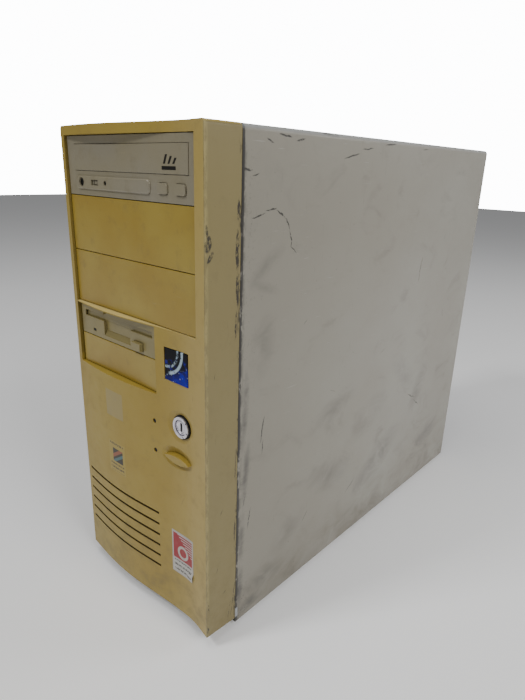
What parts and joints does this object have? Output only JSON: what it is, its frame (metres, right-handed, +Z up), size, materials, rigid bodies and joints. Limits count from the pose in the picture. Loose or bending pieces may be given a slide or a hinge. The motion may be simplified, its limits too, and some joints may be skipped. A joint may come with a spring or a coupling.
{
  "type": "desktop computer tower",
  "caption": "Mini tower computer with a curved moulded bezel, drive bays, key lock, power button, one-piece sliding steel cover and a fitted-out chassis.",
  "frame": {"origin": "on the floor, at the middle of the tower's width and depth", "axes": "+Z up, +Y from the front bezel to the rear panel, +X to the right as the front is seen"},
  "size_m": [0.166, 0.434, 0.389],
  "materials": {
    "yellowed_plastic": "fine moulded texture, yellowed",
    "beige_plastic": "fine moulded texture",
    "badge_blue": "printed and lacquered",
    "lamp_green": "unlit tinted lens",
    "black_plastic": "moulded",
    "red_plastic": "moulded",
    "lock_chrome": "plated, worn",
    "painted_steel": "light grey enamel, scuffed",
    "zinc_steel": "zinc-plated sheet",
    "bright_steel": "bright plated",
    "cast_aluminium": "cast and machined",
    "board_resin": "solder resist",
    "ceramic": "ceramic",
    "ribbon_grey": "flat cable",
    "lead_sleeve": "insulated wire bundle",
    "foot_rubber": "matt"
  },
  "bodies": {
    "chassis": {"front_bezel": "yellowed_plastic", "upper_blank": "yellowed_plastic", "lower_blank": "yellowed_plastic", "small_blank": "yellowed_plastic", "case_badge": "badge_blue", "disk_lamp": "lamp_green", "power_lamp": "lamp_green", "power_switch": "black_plastic", "lock_housing": "lock_chrome", "base_pan": "zinc_steel", "front_plate": "zinc_steel", "rear_panel": "zinc_steel", "board_tray": "zinc_steel", "wide_drive_cage": "zinc_steel", "small_drive_cage": "zinc_steel", "supply_case": "zinc_steel", "supply_lid": "zinc_steel", "optical_drive_body": "zinc_steel", "optical_bezel": "beige_plastic", "floppy_bezel": "beige_plastic", "floppy_drive_body": "cast_aluminium", "hard_disk": "cast_aluminium", "heatsink": "cast_aluminium", "supply_fan_frame": "black_plastic", "cooler_frame": "black_plastic", "fan_guard": "bright_steel", "power_inlet": "black_plastic", "motherboard": "board_resin", "rear_sockets": "black_plastic", "memory_module": "board_resin", "graphics_card": "board_resin", "sound_card": "board_resin", "processor": "ceramic", "disk_ribbon": "ribbon_grey", "floppy_ribbon": "ribbon_grey", "optical_ribbon": "ribbon_grey", "drive_power_lead": "lead_sleeve", "board_power_lead": "lead_sleeve", "panel_wires": "lead_sleeve", "foot_front_left": "foot_rubber", "foot_front_right": "foot_rubber", "foot_rear_left": "foot_rubber", "foot_rear_right": "foot_rubber"},
    "sliding_cover": {"cover": "painted_steel", "cover_screw_left_low": "bright_steel", "cover_screw_left_high": "bright_steel", "cover_screw_right_low": "bright_steel", "cover_screw_right_high": "bright_steel"},
    "disc_drawer": {"disc_tray": "black_plastic", "tray_door": "beige_plastic"},
    "eject_key": {"eject_button": "beige_plastic"},
    "play_key": {"play_button": "beige_plastic"},
    "volume_knob": {"volume_wheel": "black_plastic"},
    "disk_flap": {"floppy_door": "beige_plastic"},
    "floppy_key": {"floppy_eject_button": "beige_plastic"},
    "power_key": {"power_button": "yellowed_plastic"},
    "key_barrel": {"lock_barrel": "lock_chrome"},
    "supply_rotor": {"supply_fan": "black_plastic"},
    "cooler_rotor": {"cooler_fan": "black_plastic"},
    "selector_knob": {"voltage_selector": "red_plastic"}
  },
  "joints": [
    {"name": "cover_slide", "type": "slide", "parent": "chassis", "child": "sliding_cover", "axis": [0, 1, 0], "range_m": [0, 0.4]},
    {"name": "disc_drawer_slide", "type": "slide", "parent": "chassis", "child": "disc_drawer", "axis": [0, -1, 0], "range_m": [0, 0.135]},
    {"name": "eject_press", "type": "slide", "parent": "chassis", "child": "eject_key", "axis": [0, 1, 0], "range_m": [0, 0.0012], "stiffness_N_per_m": 500},
    {"name": "play_press", "type": "slide", "parent": "chassis", "child": "play_key", "axis": [0, 1, 0], "range_m": [0, 0.0012], "stiffness_N_per_m": 500},
    {"name": "volume_turn", "type": "hinge", "parent": "chassis", "child": "volume_knob", "pos_m": [-0.0398, -0.2055, 0.3495], "axis": [0, 0, 1], "range_deg": [-135, 135]},
    {"name": "disk_flap_swing", "type": "hinge", "parent": "chassis", "child": "disk_flap", "pos_m": [-0.0244, -0.2081, 0.24975], "axis": [1, 0, 0], "range_deg": [0, 80], "stiffness_Nm_per_rad": 0.002},
    {"name": "floppy_press", "type": "slide", "parent": "chassis", "child": "floppy_key", "axis": [0, 1, 0], "range_m": [0, 0.004], "stiffness_N_per_m": 300},
    {"name": "power_press", "type": "slide", "parent": "chassis", "child": "power_key", "axis": [0, 1, 0], "range_m": [0, 0.002], "stiffness_N_per_m": 800},
    {"name": "key_turn", "type": "hinge", "parent": "chassis", "child": "key_barrel", "pos_m": [0.052, -0.19, 0.183], "axis": [0, 1, 0], "range_deg": [0, 90]},
    {"name": "supply_fan_spin", "type": "hinge", "parent": "chassis", "child": "supply_rotor", "pos_m": [-0.0257, 0.196, 0.3407], "axis": [0, 1, 0], "continuous": true},
    {"name": "cooler_fan_spin", "type": "hinge", "parent": "chassis", "child": "cooler_rotor", "pos_m": [0.036, 0.0937, 0.23594], "axis": [1, 0, 0], "continuous": true},
    {"name": "voltage_select", "type": "slide", "parent": "chassis", "child": "selector_knob", "axis": [1, 0, 0], "range_m": [0, 0.004]}
  ]
}
